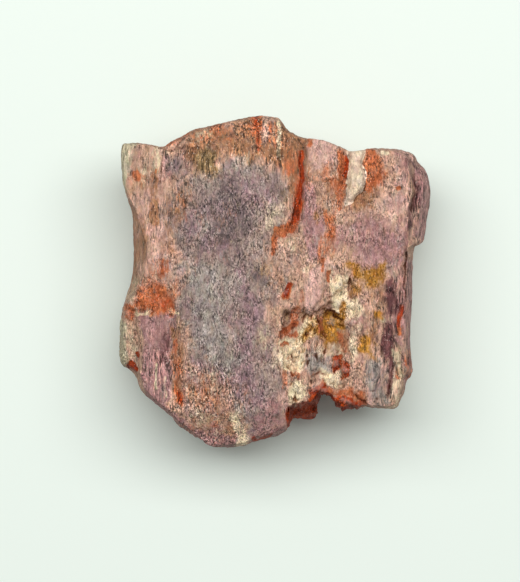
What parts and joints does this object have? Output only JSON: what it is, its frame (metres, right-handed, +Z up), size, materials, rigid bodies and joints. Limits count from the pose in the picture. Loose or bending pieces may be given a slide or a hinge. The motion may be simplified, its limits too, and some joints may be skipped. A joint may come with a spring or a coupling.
{
  "type": "bicolor elbaite tourmaline",
  "caption": "Rough broken piece of a pink and mauve elbaite tourmaline crystal with rust-stained grooves, a weathered hollow and long growth ridges.",
  "frame": {"origin": "centre of the bounding box in plan, at the level of the surface the stone rests on", "axes": "+Z up out of the broad striated prism face, +Y along the crystal's c axis and its growth ridges, towards the end with the crest, +X towards the rounded side lobe"},
  "size_m": [0.0363, 0.0386, 0.0138],
  "materials": {
    "tourmaline_stone": "rough mineral surface, dull to slightly waxy, with fine vertical fibres, sugary grain that glints, pink to grey-mauve colour and rust, ochre and cream stains"
  },
  "bodies": {
    "root": {"tourmaline": "tourmaline_stone"}
  },
  "joints": []
}
